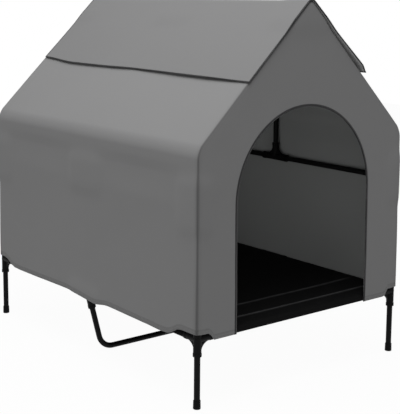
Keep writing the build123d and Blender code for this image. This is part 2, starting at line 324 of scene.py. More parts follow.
def woven_material(name, colour, dark, roughness, specular, sheen, threads, slub, stitches=(), marks=()):
    """Cloth of one colour with threads, slubs, stitch rows, and painted shade and painted highlight marks
    read from attributes.
    """
    material, tree, shader = new_material(name, roughness, specular, sheen)
    flat_map = add_node(tree, "ShaderNodeUVMap", uv_map="cloth_map")
    weave = place_group(tree, bpy.data.node_groups["Woven Cloth"], Vector=flat_map.outputs[0],
                        Threads=threads, Slub=slub)
    # Colour from the weave's shade: partly painted shade between the threads, partly the yarn's random slub
    # tone.
    colour_now = mixed(tree, weave.outputs["Shade"], scaled(colour, dark), scaled(colour, 2.0 - dark))
    place = add_node(tree, "ShaderNodeTexCoord").outputs["Object"]
    cloud = maths(tree, "MULTIPLY", noise_value(tree, place, CLOUD_SCALE, 4.0), CLOUD_AMOUNT, clamp=True)
    colour_now = mixed(tree, cloud, colour_now, scaled(colour, CLOUD_SHADE))
    height = weave.outputs["Height"]
    if stitches:
        split = add_node(tree, "ShaderNodeSeparateXYZ")
        tree.links.new(flat_map.outputs[0], split.inputs[0])
        for distance in stitches:
            row = place_group(tree, bpy.data.node_groups["Stitch Row"], Along=split.outputs[0],
                              Away=split.outputs[1], Distance=distance)
            colour_now = mixed(tree, maths(tree, "MULTIPLY", row.outputs[0], STITCH_AMOUNT), colour_now,
                               scaled(colour, STITCH_SHADE))
            height = maths(tree, "ADD", height, row.outputs[0])
    # Each mark mixes its colour in where its attribute is set: the painted corner shade on the canopy, the
    # painted crease highlight on the bed.
    for attribute, factor, mark_colour in marks:
        mark = add_node(tree, "ShaderNodeAttribute", attribute_name=attribute)
        amount = maths(tree, "MULTIPLY", mark.outputs["Fac"], factor, clamp=True)
        colour_now = mixed(tree, amount, colour_now, mark_colour)
    feed(tree, colour_now, shader.inputs["Base Color"])
    uneven = maths(tree, "MULTIPLY", weave.outputs["Shade"], WEAVE_ROUGHNESS)
    feed(tree, maths(tree, "ADD", uneven, roughness - WEAVE_ROUGHNESS / 2), shader.inputs["Roughness"])
    bump(tree, shader, height, WEAVE_BUMP, WEAVE_DEPTH)
    return material


SCUFF_AMOUNT = 0.35
SCUFF_ROUGHNESS = 0.14
SCUFF_MEAN = 0.04
GRAIN_DEPTH = 0.0003


def grained_material(name, colour, roughness, specular, grain, scuff_colour, strength):
    """A hard finish with fine grain and faint scuffs."""
    _, tree, shader = new_material(name, roughness, specular)
    place = add_node(tree, "ShaderNodeTexCoord").outputs["Object"]
    surface = place_group(tree, bpy.data.node_groups["Surface Grain"], Vector=place, Grain=grain)
    amount = maths(tree, "MULTIPLY", surface.outputs["Scuffs"], SCUFF_AMOUNT)
    feed(tree, mixed(tree, amount, tuple(colour), scuff_colour), shader.inputs["Base Color"])
    uneven = maths(tree, "MULTIPLY", surface.outputs["Scuffs"], SCUFF_ROUGHNESS)
    feed(tree, maths(tree, "ADD", uneven, roughness - SCUFF_MEAN), shader.inputs["Roughness"])
    bump(tree, shader, surface.outputs["Height"], strength, GRAIN_DEPTH)


MESH_COLOUR = (0.012, 0.012, 0.012)
MESH_THREADS = 500.0
MESH_THREAD_SHARE = 0.5


def make_mesh_material():
    """Open mesh cloth for the roof vents."""
    material = woven_material("mesh_cloth", MESH_COLOUR, dark=0.6, roughness=0.7, specular=0.3, sheen=0.1,
                              threads=600.0, slub=0.3)
    tree = material.node_tree
    split = add_node(tree, "ShaderNodeSeparateXYZ")
    flat_map = add_node(tree, "ShaderNodeUVMap", uv_map="cloth_map")
    tree.links.new(flat_map.outputs[0], split.inputs[0])
    threads = []
    for axis in (0, 1):
        turn = maths(tree, "FRACT", maths(tree, "MULTIPLY", split.outputs[axis], MESH_THREADS))
        threads.append(maths(tree, "LESS_THAN", turn, MESH_THREAD_SHARE))
    cover = maths(tree, "MAXIMUM", *threads)
    feed(tree, cover, tree.nodes["Principled BSDF"].inputs["Alpha"])


# Mesh helpers


def new_piece(name, bm, materials):
    """Makes a smooth-shaded piece at the origin from a bmesh."""
    mesh = bpy.data.meshes.new(name)
    bm.to_mesh(mesh)
    bm.free()
    for polygon in mesh.polygons:
        polygon.use_smooth = True
    piece = bpy.data.objects.new(name, mesh)
    bpy.context.scene.collection.objects.link(piece)
    for material in materials:
        mesh.materials.append(bpy.data.materials[material])
    return piece


def thicken(piece, thickness, inner_material=0):
    """Gives a sheet its thickness, half to each side."""
    wall = piece.modifiers.new("thickness", "SOLIDIFY")
    wall.thickness = thickness
    wall.offset = 0.0
    wall.use_even_offset = True
    wall.material_offset = inner_material


def smooth_step(value):
    """A soft step from 0 to 1."""
    value = min(1.0, max(0.0, value))
    return value * value * (3.0 - 2.0 * value)


def ripple(point, scale, seed):
    """A soft unevenness between about -1 and 1."""
    return noise.noise(Vector(point) * scale + Vector((seed, seed * 0.7, -seed)))


def box_distance(point, box):
    """How far a point is outside a box."""
    low, high = box
    off = [max(low[axis] - point[axis], point[axis] - high[axis], 0.0) for axis in range(3)]
    return math.sqrt(off[0] ** 2 + off[1] ** 2 + off[2] ** 2)


CONNECTOR_SPREAD = 0.042
CONNECTOR_CLEARANCE = 0.004


def connector_push(point, spread=CONNECTOR_SPREAD):
    """How much of the connector lift a point of the cloth gets, from 0 to 1."""
    nearest = min(box_distance(point, box) for box in CONNECTOR_BOXES)
    return 1.0 - smooth_step((nearest - CONNECTOR_CLEARANCE) / spread)


class House:
    """The canopy's cross-section at one offset outside the tubes' axes."""

    def __init__(self, sizes, offset):
        self.wall = HALF_WIDTH + offset
        self.roof_angle = math.atan2(RIDGE_HEIGHT - sizes.eave_height, HALF_WIDTH)
        self.turn = math.pi / 2 - self.roof_angle
        self.eave = sizes.eave_height + offset * math.tan(self.turn / 2)
        self.ridge = RIDGE_HEIGHT + offset / math.cos(self.roof_angle)
        self.bend = (sizes.eave_radius + offset) * math.tan(self.turn / 2)
        self.peak = (offset + PEAK_EXTRA) * math.tan(self.roof_angle)
        self.end = HALF_LENGTH + offset
        self.corner = offset

    def slope_place(self, x, z):
        """How far a point is down its slope from the ridge's axis."""
        return abs(x) * math.cos(self.roof_angle) + (RIDGE_HEIGHT - z) * math.sin(self.roof_angle)

    def height_along(self, x, z):
        """Distance along the cloth's cross-section from the hem."""
        if z <= self.eave:
            return z - HEM_HEIGHT
        return self.eave - HEM_HEIGHT + math.hypot(self.wall - abs(x), z - self.eave)


WALL_CUTS = 33
BEND_SEGMENTS = 10
SLOPE_CUTS = 35
PEAK_SEGMENTS = 5
JAMB_CUTS = 33
LENGTH_CUTS = 99
FRONT_CUTS = 11
REAR_CUTS = 71
DOOR_SHIFT = -0.0055
TAPE_WIDTH = 0.006
CORNER_RADIUS = 0.0055
CORNER_SEGMENTS = 4
PEAK_EXTRA = 0.001


def cut_edges(bm, edges, cuts):
    """Divides edges evenly, with the faces between them."""
    bmesh.ops.subdivide_edges(bm, edges=edges, cuts=cuts, use_grid_fill=True)


def round_off(bm, parts, offset, segments, affect="VERTICES"):
    """Rounds corners or edges with one bevel."""
    bmesh.ops.bevel(bm, geom=parts, offset=offset, offset_type="OFFSET", segments=segments, profile=0.5,
                    affect=affect, material=-1, clamp_overlap=False)


def face_outward(bm, outward):
    """Makes the normals agree, and turns them all if the test says that they point inward."""
    bmesh.ops.recalc_face_normals(bm, faces=list(bm.faces))
    if not outward():
        bmesh.ops.reverse_faces(bm, faces=list(bm.faces))


def outline_chain(bm, house):
    """The house-shaped line at the front, from hem to hem, with its eaves and peak rounded."""
    y = -house.end
    corners = [(-house.wall, y, HEM_HEIGHT), (-house.wall, y, house.eave), (0.0, y, house.ridge),
               (house.wall, y, house.eave), (house.wall, y, HEM_HEIGHT)]
    points = [bm.verts.new(corner) for corner in corners]
    bm.faces.new(points)
    round_off(bm, [points[1], points[3]], house.bend, BEND_SEGMENTS)
    peak = max(bm.verts, key=lambda vert: vert.co.z)
    round_off(bm, [peak], house.peak, PEAK_SEGMENTS)
    bmesh.ops.delete(bm, geom=list(bm.faces), context="FACES_ONLY")
    bottom = [edge for edge in bm.edges if max(v.co.z for v in edge.verts) < HEM_HEIGHT + NEAR]
    bmesh.ops.delete(bm, geom=bottom, context="EDGES")
    straight = [edge for edge in bm.edges if edge.calc_length() > 0.2]
    walls = [edge for edge in straight if abs(edge.verts[0].co.x - edge.verts[1].co.x) < NEAR]
    slopes = [edge for edge in straight if edge not in walls]
    cut_edges(bm, walls, WALL_CUTS)
    cut_edges(bm, slopes, SLOPE_CUTS)


def arch_chain(bm, house, radius):
    """The doorway's line at the front, from hem to hem, with as many points as the outline."""
    others = set(bm.edges)
    outline_edges = 2 * (WALL_CUTS + 1 + BEND_SEGMENTS + SLOPE_CUTS + 1) + PEAK_SEGMENTS
    arch_edges = outline_edges - 2 * (JAMB_CUTS + 1)
    stand = Matrix.Rotation(math.pi / 2, 4, "X") @ Matrix.Rotation(math.pi / 2, 4, "Z")
    place = Matrix.Translation((DOOR_SHIFT, -house.end, DOOR_SPRING)) @ stand
    ring = bmesh.ops.create_circle(bm, cap_ends=False, segments=2 * arch_edges, radius=radius, matrix=place)
    low = [vert for vert in ring["verts"] if vert.co.z < DOOR_SPRING - NEAR / 10]
    bmesh.ops.delete(bm, geom=low, context="VERTS")
    ends = [v for v in bm.verts if len(v.link_edges) == 1 and abs(v.co.z - DOOR_SPRING) < NEAR]
    jambs = bmesh.ops.extrude_vert_indiv(bm, verts=ends)
    bmesh.ops.translate(bm, verts=jambs["verts"], vec=(0.0, 0.0, HEM_HEIGHT - DOOR_SPRING))
    cut_edges(bm, jambs["edges"], JAMB_CUTS)
    return [edge for edge in bm.edges if edge not in others]


def canopy_shell(sizes):
    """The whole canopy as one sheet: walls, roof and both gables, with rounded corners."""
    house = House(sizes, sizes.skin)
    bm = bmesh.new()
    outline_chain(bm, house)
    front_outline = list(bm.edges)
    long_sides = bmesh.ops.extrude_edge_only(bm, edges=front_outline)
    rear_verts = [item for item in long_sides["geom"] if isinstance(item, bmesh.types.BMVert)]
    bmesh.ops.translate(bm, verts=rear_verts, vec=(0.0, 2 * house.end, 0.0))
    rear_outline = [edge for edge in bm.edges if all(v.co.y > 0 for v in edge.verts)]

    tape_line = arch_chain(bm, house, DOOR_RADIUS)
    bmesh.ops.bridge_loops(bm, edges=front_outline + tape_line)
    door_line = arch_chain(bm, house, DOOR_RADIUS - TAPE_WIDTH)
    bmesh.ops.bridge_loops(bm, edges=tape_line + door_line)

    halves = [edge for edge in rear_outline if abs(sum(v.co.x for v in edge.verts)) > NEAR]
    bmesh.ops.bridge_loops(bm, edges=halves)

    round_off(bm, front_outline + rear_outline, CORNER_RADIUS, CORNER_SEGMENTS, affect="EDGES")

    def in_plane(edge, y):
        return all(abs(vert.co.y - y) < NEAR for vert in edge.verts)

    lengthwise = [e for e in bm.edges if abs(e.verts[0].co.y - e.verts[1].co.y) > HALF_LENGTH]
    cut_edges(bm, lengthwise, LENGTH_CUTS)
    across_front = [e for e in bm.edges if in_plane(e, -house.end) and e.calc_length() > 0.05]
    cut_edges(bm, across_front, FRONT_CUTS)
    across_rear = [e for e in bm.edges if in_plane(e, house.end) and e.verts[0].co.x * e.verts[1].co.x < 0
                   and e.calc_length() > 0.012]
    cut_edges(bm, across_rear, REAR_CUTS)
    face_outward(bm, lambda: max(bm.faces, key=lambda face: face.calc_center_median().z).normal.z >= 0)
    bm.normal_update()
    return bm, house


# The hem of the long walls and of the gables, as places along them and heights, in metres
SIDE_HEM = [(-0.520, 0.1970), (-0.455, 0.1965), (-0.436, 0.1925), (-0.424, 0.1850), (-0.408, 0.1765),
            (-0.395, 0.1725), (-0.357, 0.1712), (-0.314, 0.1731), (-0.223, 0.1744), (-0.152, 0.1756),
            (-0.118, 0.1758), (-0.098, 0.1742), (-0.078, 0.1706), (-0.058, 0.1680), (-0.030, 0.1695),
            (0.005, 0.1722), (0.040, 0.1748), (0.080, 0.1772), (0.136, 0.1768), (0.194, 0.1758),
            (0.254, 0.1744), (0.379, 0.1725), (0.418, 0.1735), (0.440, 0.1800), (0.458, 0.1900),
            (0.475, 0.1955), (0.520, 0.1970)]
END_HEM = [(0.0, 0.1755), (0.318, 0.1755), (0.3235, 0.1790), (0.3270, 0.1900), (0.3330, 0.1955),
           (0.380, 0.1965)]
HEM_REACH = 0.16
WALL_BAND = 0.012
LEAN_FOOT = 0.200
LEAN_REACH = 0.330
SLACK_SPREAD = 0.110
ROOF_SAG = 0.0040
ROOF_SPAN = 0.50
WALL_SAG = 0.0022
EAVE_MARGIN = 0.06
BROAD_RIPPLE = 0.0009
FINE_RIPPLE = 0.0004
TEE_PUSH = 0.0035
TEE_SPREAD = 0.045
TEE_PUSH_TOP = 0.195
TEE_PUSH_FADE = 0.05


def along_line(line, place):
    """A height read from a list of places and heights."""
    for (first, low), (second, high) in zip(line, line[1:]):
        if place <= second:
            share = min(1.0, max(0.0, (place - first) / (second - first)))
            return low + (high - low) * share
    return line[-1][1]


def hem_height(point, wall):
    """The hem's real height under a point, with the cut-outs at the corners."""
    if abs(point.x) > wall - WALL_BAND:
        return along_line(SIDE_HEM, point.y)
    return along_line(END_HEM, abs(point.x))


def swell(place, low, high):
    """A bulge from 0 at both ends of a span to 1 at its middle."""
    return math.sin(math.pi * min(1.0, max(0.0, (place - low) / (high - low))))


def drape_canopy(bm, house, sizes):
    """Pushes the cloth out over the connectors, and gives it its sag, ripples and real hem."""
    moves = []
    for vert in bm.verts:
        place = vert.co.copy()
        out = vert.normal.copy()
        lean = 1.0 - smooth_step((place.z - LEAN_FOOT) / LEAN_REACH)
        offset = sizes.connector_lift * max(connector_push(place), lean)
        bay = abs(math.sin(math.pi * place.y / house.end)) if abs(out.y) < 0.5 else 0.0
        if out.z > 0.3:
            offset -= ROOF_SAG * bay * swell(house.slope_place(place.x, place.z), 0.0, ROOF_SPAN)
        elif abs(out.x) > 0.5 and place.z < house.eave - EAVE_MARGIN:
            span = (RAIL_HEIGHT, BEAM_HEIGHT) if place.z < BEAM_HEIGHT else (BEAM_HEIGHT, house.eave)
            offset -= WALL_SAG * bay * swell(place.z, *span)
        uneven = BROAD_RIPPLE * ripple(place, 4.5, 3.1) + FINE_RIPPLE * ripple(place, 13.0, 8.2)
        offset += (1.0 - connector_push(place, SLACK_SPREAD)) * uneven
        tee = min(box_distance(place, box) for box in TEE_BOXES)
        above = smooth_step((place.z - TEE_PUSH_TOP) / TEE_PUSH_FADE)
        offset += TEE_PUSH * (1.0 - smooth_step(tee / TEE_SPREAD)) * (1.0 - above)
        rise = hem_height(place, house.wall) - HEM_HEIGHT
        fade = 1.0 - smooth_step((place.z - HEM_HEIGHT) / HEM_REACH)
        moves.append((vert, place + out * offset + Vector((0.0, 0.0, rise * fade))))
    for vert, place in moves:
        vert.co = place


def map_canopy(bm, house):
    """Gives the cloth its flat map, in metres from the hem, and marks painted shade along its rounded
    corners, where the cloth turns round the tubes.
    """
    flat_map = bm.loops.layers.uv.new("cloth_map")
    # Painted shade: a mask that peaks halfway round each rounded corner between wall and gable, darkening
    # the cloth there.
    painted_corner_shade = bm.verts.layers.float.new("painted_corner_shade")
    for vert in bm.verts:
        toward_end = math.asin(min(1.0, abs(vert.normal.y))) / (math.pi / 2)
        vert[painted_corner_shade] = max(0.0, 1.0 - abs(2.0 * toward_end - 1.0))
    for face in bm.faces:
        gable = abs(face.normal.y) > 0.7
        for loop in face.loops:
            place = loop.vert.co
            if gable:
                loop[flat_map].uv = (place.x, place.z - HEM_HEIGHT)
            else:
                loop[flat_map].uv = (place.y, house.height_along(place.x, place.z))


VENT_TOP = 0.085
VENT_FOOT = 0.215
VENT_END = 0.310
VENT_THICKNESS = 0.0006
DOOR_TAPE_THICKNESS = 0.0026


def vent_faces(bm, house, side):
    """The faces of one roof slope that the mesh vent takes up."""
    def inside(place):
        down = house.slope_place(place.x, place.z)
        return place.x * side > 0 and abs(place.y) <= VENT_END and VENT_TOP < down < VENT_FOOT

    return [face for face in bm.faces if face.normal.z >= 0.3 and inside(face.calc_center_median())]


def door_faces(bm):
    """The faces along the doorway's edge that the tape covers."""
    def away(vert):
        return math.hypot(vert.co.x - DOOR_SHIFT, max(0.0, vert.co.z - DOOR_SPRING))

    return [face for face in bm.faces if face.normal.y <= -0.7
            and all(away(vert) < DOOR_RADIUS + 10 * NEAR for vert in face.verts)]


def keep_only(bm, indices):
    """A copy of a bmesh with only the faces of those indices."""
    part = bm.copy()
    part.faces.ensure_lookup_table()
    lost = [face for face in part.faces if face.index not in indices]
    bmesh.ops.delete(part, geom=lost, context="FACES")
    return part


WOVEN = {"dark": 0.93, "roughness": 0.86, "specular": 0.18, "sheen": 0.10, "threads": 830.0, "slub": 0.5}
# Finish of the inner faces, whose lighter colours are painted light.
INSIDE_FINISH = {"dark": 0.95, "roughness": 0.72, "specular": 0.20, "sheen": 0.0, "threads": 830.0, "slub": 0.3}
TAPE = {"dark": 0.75, "roughness": 0.7, "specular": 0.25, "sheen": 0.15, "threads": 1200.0, "slub": 0.4}
SLING = {"dark": 0.80, "roughness": 0.75, "specular": 0.03, "sheen": 0.0, "threads": 700.0, "slub": 0.5}
HEM_STITCHES = (0.011, 0.0135)
# Tone of the painted shade along the rounded corners, as a share of the cloth's colour.
PAINTED_CORNER_SHADE_TONE = 0.33
FLAP_SHADE = 0.87
# Painted highlight: the lighter colour laid along the fold creases of the black bed cloth.
PAINTED_CREASE_HIGHLIGHT_COLOUR = (0.11, 0.11, 0.113)


class DOGBED_OT_finishes(bpy.types.Operator):
    """Makes the shared shader groups and all the finishes"""

    bl_idname = "dogbed.finishes"
    bl_label = "Make Finishes"

    def execute(self, context):
        colours = context.scene.dog_bed_colours
        make_weave_group()
        make_stitch_group()
        make_grain_group()
        cloth = tuple(colours.cloth)
        # Painted shade along the rounded corners, mixed into both faces of the canopy's cloth.
        painted_corner_shade = ("painted_corner_shade", 0.80, scaled(cloth, PAINTED_CORNER_SHADE_TONE))
        # Painted highlight along the bed's fold creases.
        painted_crease_highlight = ("painted_crease_highlight", 0.7, PAINTED_CREASE_HIGHLIGHT_COLOUR)
        woven_material("house_cloth", cloth, **WOVEN, stitches=HEM_STITCHES, marks=(painted_corner_shade,))
        # Inner face of the canopy: a lighter grey as painted light for the shaded inside.
        woven_material("house_cloth_inside", tuple(colours.inside_cloth_painted_light), **INSIDE_FINISH, stitches=HEM_STITCHES,
                       marks=(painted_corner_shade,))
        woven_material("flap_cloth", scaled(cloth, FLAP_SHADE), **WOVEN)
        # Underside of the flap: pale colour as painted light for the shaded gap under it.
        woven_material("flap_cloth_inside", tuple(colours.flap_underside_painted_light), **INSIDE_FINISH)
        woven_material("edge_tape", tuple(colours.tape), **TAPE)
        woven_material("bed_cloth", tuple(colours.sling), **SLING, marks=(painted_crease_highlight,))
        make_mesh_material()
        grained_material("powder_coat", colours.tube, roughness=0.50, specular=0.08, grain=1400.0,
                         scuff_colour=(0.009, 0.009, 0.0095), strength=0.12)
        grained_material("moulded_plastic", colours.plastic, roughness=0.55, specular=0.08, grain=2200.0,
                         scuff_colour=(0.008, 0.008, 0.0085), strength=0.20)
        grained_material("cap_plastic", colours.plastic, roughness=0.62, specular=0.08, grain=1600.0,
                         scuff_colour=(0.012, 0.012, 0.012), strength=0.25)
        return {"FINISHED"}


class DOGBED_OT_hard_parts(bpy.types.Operator):
    """Gives the tubes, connectors and foot caps their finishes"""

    bl_idname = "dogbed.hard_parts"
    bl_label = "Finish Frame"

    def execute(self, context):
        for name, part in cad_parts.items():
            finish = "powder_coat"
            if name.startswith(CONNECTOR_KINDS):
                finish = "moulded_plastic"
            elif name.startswith("foot_cap"):
                finish = "cap_plastic"
            for slot in part.material_slots:
                slot.material = bpy.data.materials[finish]
        return {"FINISHED"}


class DOGBED_OT_canopy(bpy.types.Operator):
    """Builds the canopy as one sheet, with its doorway tape and mesh vents"""

    bl_idname = "dogbed.canopy"
    bl_label = "Build Canopy"

    def execute(self, context):
        sizes = context.scene.dog_bed_sizes
        bm, house = canopy_shell(sizes)
        map_canopy(bm, house)
        bm.faces.index_update()
        tape = {face.index for face in door_faces(bm)}
        vents = {side: {face.index for face in vent_faces(bm, house, side)} for side, _ in SIDES}
        if not tape or not vents[-1] or not vents[1]:
            raise RuntimeError("the doorway or a vent has no faces")
        drape_canopy(bm, house, sizes)
        tape_bm = keep_only(bm, tape)
        vent_bms = {side: keep_only(bm, vents[side]) for side, _ in SIDES}
        bm.faces.ensure_lookup_table()
        open_faces = [bm.faces[index] for index in vents[-1] | vents[1]]
        bmesh.ops.delete(bm, geom=open_faces, context="FACES")

        # The inner face takes the lighter painted-light material.
        canopy = new_piece("canopy_cloth", bm, ["house_cloth", "house_cloth_inside"])
        thicken(canopy, sizes.cloth_thickness, 1)
        door_tape = new_piece("doorway_tape", tape_bm, ["edge_tape"])
        thicken(door_tape, DOOR_TAPE_THICKNESS)
        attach(canopy, "canopy")
        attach(door_tape, "canopy")
        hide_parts("cover_left", "cover_right", "cover_front", "cover_rear")
        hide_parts("doorway_binding")
        for side, name in SIDES:
            vent = new_piece(f"vent_cloth_{name}", vent_bms[side], ["mesh_cloth"])
            thicken(vent, VENT_THICKNESS)
            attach(vent, "canopy")
            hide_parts(f"roof_vent_{name}")
        return {"FINISHED"}


FLAP_ROWS = 44
FLAP_COLUMNS = 104
FLAP_TAPE_WIDTH = 0.0032
FLAP_TAPE_THICKNESS = 0.0023
RIDGE_BEND = 0.0145
FRONT_INSET = 0.0005
REAR_INSET = 0.009
FRONT_RUN = 0.55
FRONT_DROP = 0.0075
REAR_CURVE = 0.19
REAR_TUCK = 0.012
FLAP_GAP = 0.0026
FLAP_SPREAD = 0.060
STAND_AT_REAR = 0.35
CURL_START = 0.91
CURL_DEPTH = 0.0075
FLAP_MAP_SIZE = (0.515, 0.29)


def flap_point(house, side, path, offset):
    """A point of the flap, measured over the ridge and down one slope."""
    turn = house.roof_angle
    round_part = RIDGE_BEND * turn
    if path < round_part:
        angle = path / RIDGE_BEND
        return Vector((side * offset * math.sin(angle), 0.0, RIDGE_HEIGHT + offset * math.cos(angle)))
    along = path - round_part
    x = along * math.cos(turn) + offset * math.sin(turn)
    z = RIDGE_HEIGHT - along * math.sin(turn) + offset * math.cos(turn)
    return Vector((side * x, 0.0, z))


def build_flap(sizes, side, name):
    """One half of the rain flap and the tape folded over its edges."""
    house = House(sizes, sizes.skin)
    bm = bmesh.new()
    flat_map = bm.loops.layers.uv.new("cloth_map")
    bmesh.ops.create_grid(bm, x_segments=FLAP_ROWS, y_segments=FLAP_COLUMNS, size=1.0)
    front_y = -FLAP_HALF_LENGTH + FRONT_INSET
    rear_y = house.end - REAR_INSET
    drop = sizes.flap_drop + RIDGE_BEND * house.roof_angle
    tape = FLAP_TAPE_WIDTH
    tape_faces = set()
    for face in bm.faces:
        place = face.calc_center_median()
        if place.x > 1.0 - 2.0 / FLAP_ROWS or abs(place.y) > 1.0 - 2.0 / FLAP_COLUMNS:
            tape_faces.add(face.index)
        for loop in face.loops:
            across = (loop.vert.co.x + 1) / 2
            loop[flat_map].uv = (loop.vert.co.y * FLAP_MAP_SIZE[0], across * FLAP_MAP_SIZE[1])
    for vert in bm.verts:
        row = round((vert.co.x + 1) / 2 * FLAP_ROWS)
        column = round((vert.co.y + 1) / 2 * FLAP_COLUMNS)
        share = 1.0 if row == FLAP_ROWS else row / (FLAP_ROWS - 1) * (1.0 - tape / drop)
        run = (column - 1) / (FLAP_COLUMNS - 2)
        y = front_y + tape + run * (rear_y - front_y - 2 * tape)
        if column == 0:
            y = front_y
        elif column == FLAP_COLUMNS:
            y = rear_y
        length = drop
        to_front = 1.0 - smooth_step((y - front_y) / FRONT_RUN)
        if side < 0:
            length -= REAR_TUCK * smooth_step((y - (rear_y - REAR_CURVE)) / REAR_CURVE)
            length += FRONT_DROP * to_front
            length += 0.0012 * ripple((y, 0.0, 0.0), 6.0, 1.7)
        path = share * length
        place = flap_point(house, side, path, house.corner)
        place.y = y
        lift = FLAP_GAP + sizes.connector_lift * connector_push(place, FLAP_SPREAD)
        if side < 0:
            lift += share * (0.0012 + 0.0010 * ripple((y * 5.0, 0.0, 0.0), 1.0, 4.4))
        else:
            stand = STAND_AT_REAR + (1.0 - STAND_AT_REAR) * to_front
            curl = CURL_DEPTH * smooth_step((share - CURL_START) / (1.0 - CURL_START))
            lift += sizes.flap_stand * stand * share ** 1.3 - curl
        lift += 0.0006 * ripple((y, path, 0.0), 9.0, 6.5) * smooth_step(path / 0.08)
        vert.co = flap_point(house, side, path, house.corner + lift)
        vert.co.y = y
    face_outward(bm, lambda: sum(face.normal.z for face in bm.faces) >= 0)
    tape_bm = keep_only(bm, tape_faces)
    # The flap's underside takes the pale painted-light material.
    cloth = new_piece(f"rain_flap_cloth_{name}", bm, ["flap_cloth", "flap_cloth_inside"])
    thicken(cloth, sizes.cloth_thickness, 1)
    binding = new_piece(f"rain_flap_tape_{name}", tape_bm, ["edge_tape"])
    thicken(binding, FLAP_TAPE_THICKNESS)
    for piece in (cloth, binding):
        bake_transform(piece)
    return cloth


class DOGBED_OT_rain_flap(bpy.types.Operator):
    """Builds both halves of the rain flap, with their bound edges"""

    bl_idname = "dogbed.rain_flap"
    bl_label = "Build Rain Flap"

    def execute(self, context):
        sizes = context.scene.dog_bed_sizes
        left = build_flap(sizes, -1, "left")
        right = build_flap(sizes, 1, "right")
        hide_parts("rain_flap_left", "rain_flap_ridge")
        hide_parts("rain_flap_right")
        return {"FINISHED"}


SLEEVE_RADIUS = 0.00905
CORNER_CUT = 0.049
TEE_CUT = 0.057
TEE_DEPTH = 0.0145
CREASES = (-0.451, -0.361)
CREASE_HALF_WIDTH = 0.0062
CREASE_HEIGHT = 0.0022
CREASE_FADE = 0.06
CREASE_BOW = 0.0012
SLING_COLUMNS = 74
SLING_ROWS = 202
SLING_SAG = 0.0055
SLING_RIPPLE = 0.0008
SLEEVE_ANGLE = math.radians(262)
SLEEVE_STEPS = 14
SLEEVE_TAIL = 0.005
SLEEVE_TAIL_GAP = 0.0022


def snap_lines(limits, count):
    """Places between limits, evenly spread, with every limit kept."""
    low, high = limits[0], limits[-1]
    places = [low + (high - low) * index / count for index in range(count + 1)]
    for limit in limits:
        nearest = min(range(count + 1), key=lambda index: abs(places[index] - limit))
        places[nearest] = limit
    return places


